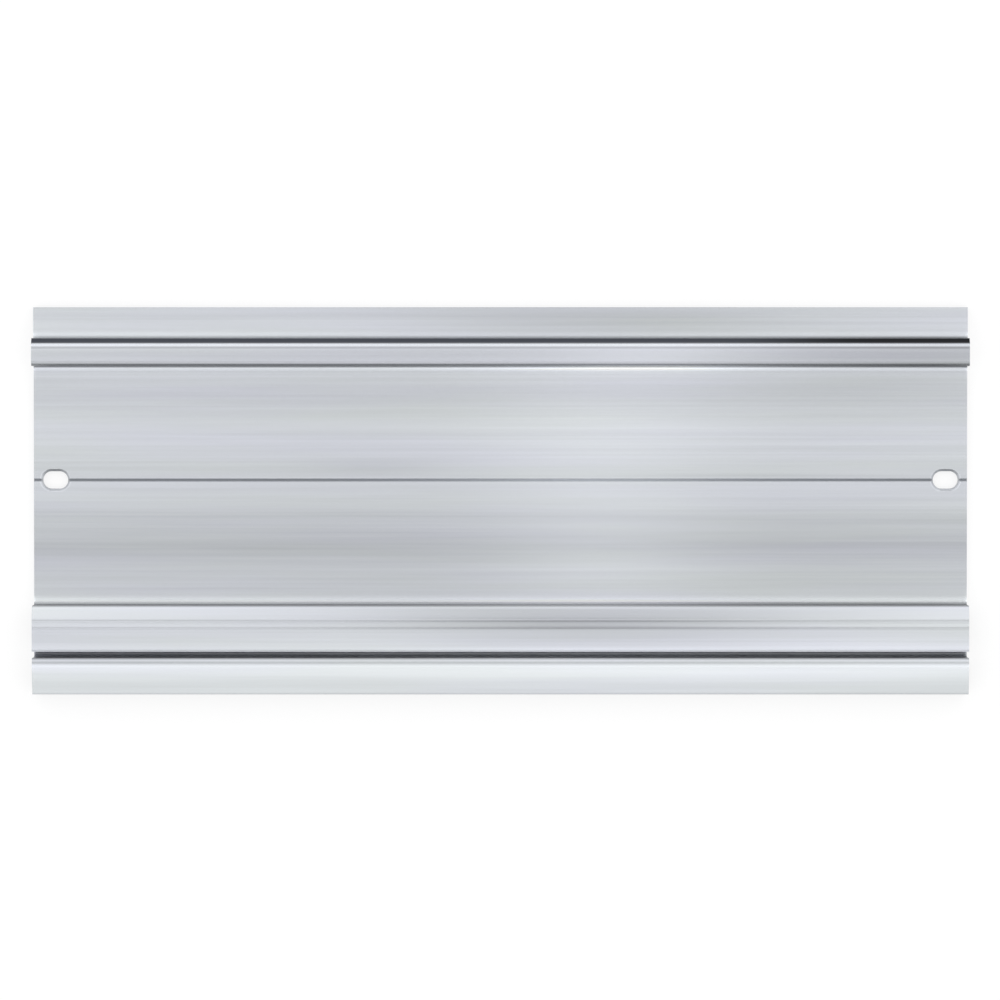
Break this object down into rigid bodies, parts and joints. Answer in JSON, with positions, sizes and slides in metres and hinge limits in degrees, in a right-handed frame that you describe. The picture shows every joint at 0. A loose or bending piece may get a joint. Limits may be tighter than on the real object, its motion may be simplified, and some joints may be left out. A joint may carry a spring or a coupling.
{
  "type": "plc mounting rail",
  "caption": "Extruded aluminium mounting rail for controller modules: flat web with a drill line and oblong end slots, a hook lip above, and a ridge with a screw channel below.",
  "frame": {"origin": "middle of the back plane, on which the rail lies", "axes": "+X along the rail, +Y from the bottom flange towards the top strip, +Z out of the front"},
  "size_m": [0.295, 0.122, 0.012],
  "materials": {
    "aluminium": "brushed along the length"
  },
  "bodies": {
    "root": {"rail": "aluminium"}
  },
  "joints": []
}
